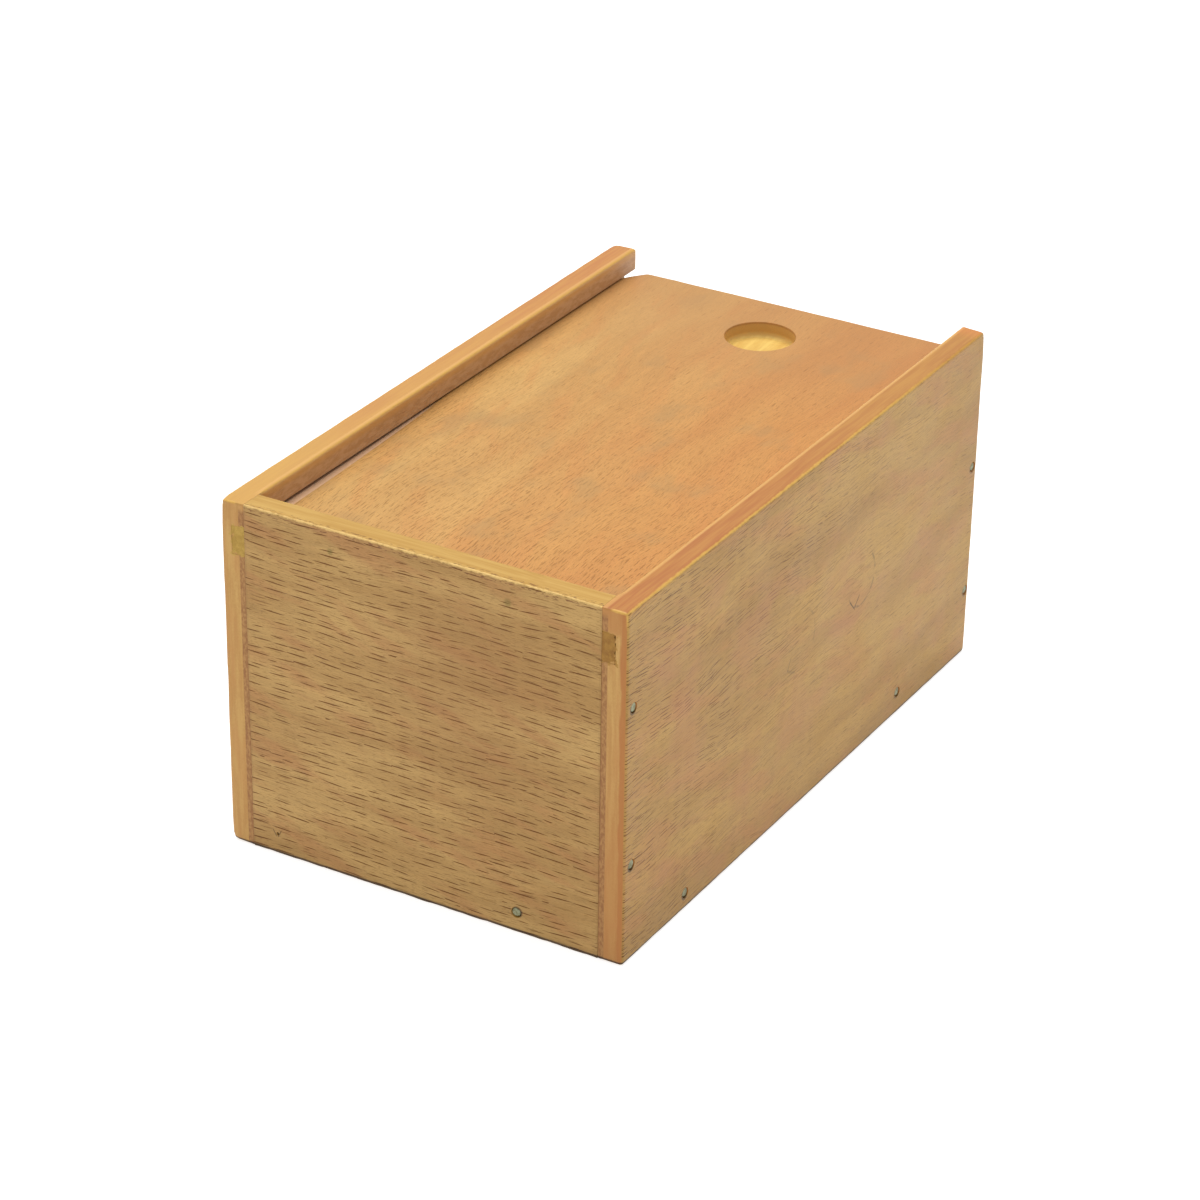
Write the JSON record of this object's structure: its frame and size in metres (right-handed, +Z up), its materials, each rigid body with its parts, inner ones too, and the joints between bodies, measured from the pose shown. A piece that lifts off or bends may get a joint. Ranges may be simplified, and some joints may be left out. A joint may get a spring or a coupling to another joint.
{
  "type": "slide-lid wooden box",
  "caption": "Small beech box for puzzle pieces: a flat lid with a round finger recess slides in grooved sides, and steel pins hold the boards together.",
  "frame": {"origin": "on the table, under the middle of the box", "axes": "+Z up, +Y towards the open end that the lid slides out of, +X to the right as seen from the closed end"},
  "size_m": [0.0952, 0.1582, 0.08],
  "materials": {
    "side_wood": "lacquered beech, flat-sawn, satin",
    "end_wood": "lacquered beech with short dark flecks, satin",
    "bottom_wood": "sanded beech, thin lacquer",
    "lid_wood": "lacquered beech, warm orange, satin",
    "putty": "wood filler, greenish yellow, matt",
    "pin_steel": "dull grey steel, lightly tarnished"
  },
  "bodies": {
    "box": {"left_side": "side_wood", "right_side": "side_wood", "front_end": "end_wood", "rear_end": "end_wood", "bottom_board": "bottom_wood", "groove_filler_left": "putty", "groove_filler_right": "putty", "pin_left_front_upper": "pin_steel", "pin_left_front_lower": "pin_steel", "pin_left_rear_upper": "pin_steel", "pin_left_rear_lower": "pin_steel", "pin_left_bottom_front": "pin_steel", "pin_left_bottom_rear": "pin_steel", "pin_right_front_upper": "pin_steel", "pin_right_front_lower": "pin_steel", "pin_right_rear_upper": "pin_steel", "pin_right_rear_lower": "pin_steel", "pin_right_bottom_front": "pin_steel", "pin_right_bottom_rear": "pin_steel", "pin_front_left": "pin_steel", "pin_front_right": "pin_steel", "pin_rear_left": "pin_steel", "pin_rear_right": "pin_steel"},
    "lid": {"sliding_lid": "lid_wood"}
  },
  "joints": [
    {"name": "lid_slide", "type": "slide", "parent": "box", "child": "lid", "axis": [0, 1, 0], "range_m": [0, 0.153]}
  ]
}
